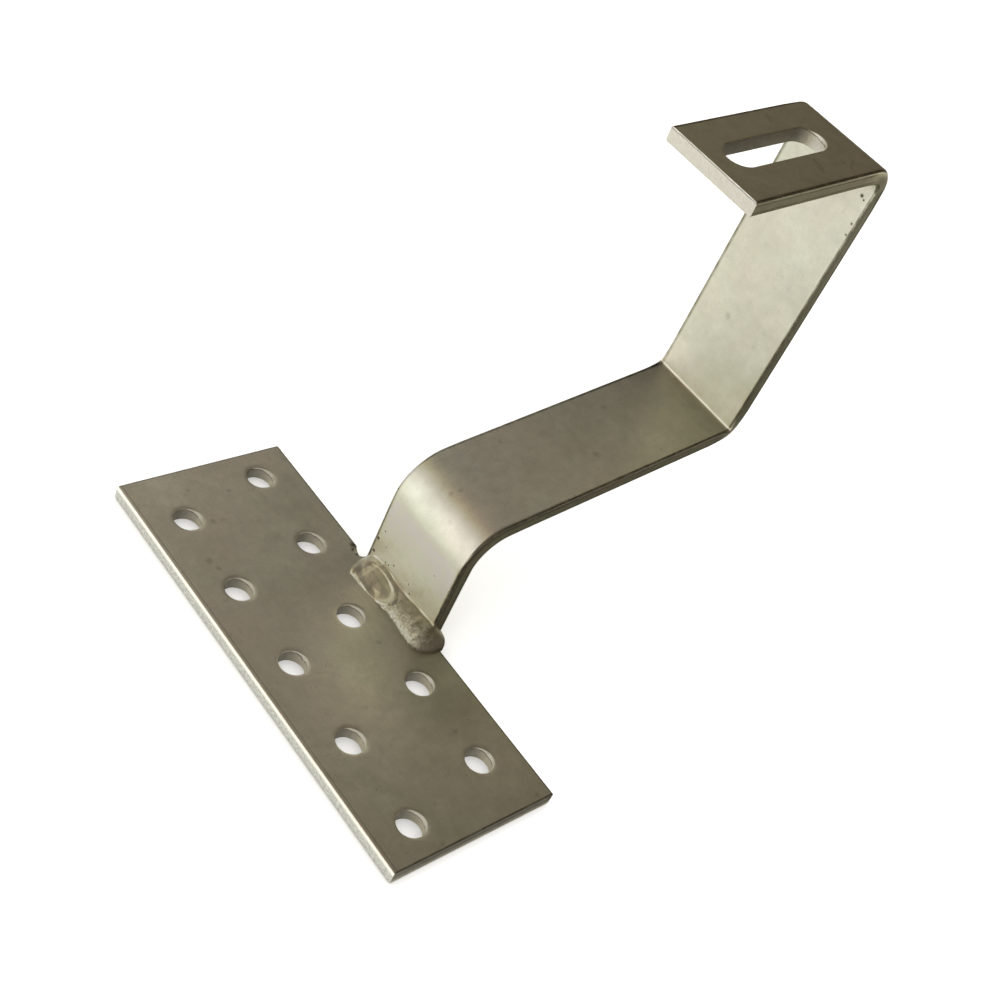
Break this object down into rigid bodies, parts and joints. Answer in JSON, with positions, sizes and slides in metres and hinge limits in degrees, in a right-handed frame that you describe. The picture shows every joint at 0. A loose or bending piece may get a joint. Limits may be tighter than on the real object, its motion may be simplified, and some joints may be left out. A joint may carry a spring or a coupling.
{
  "type": "solar roof hook",
  "caption": "Bent flat-bar roof hook welded to the long edge of a drilled base plate, with a slotted top flange that carries a mounting rail over roof tiles.",
  "frame": {"origin": "centre of the base plate's underside, where the hook lies on the rafter", "axes": "+Z out of the rafter through the plate, +X the hook's reach from the plate's free long edge towards the bar, +Y along the plate's length"},
  "size_m": [0.1703, 0.15, 0.1664],
  "materials": {
    "plate_steel": "pickled mill finish",
    "bar_steel": "pickled mill finish",
    "weld_metal": "as welded, pickled"
  },
  "bodies": {
    "root": {"base_plate": "plate_steel", "hook_bar": "bar_steel", "foot_weld": "weld_metal"}
  },
  "joints": []
}
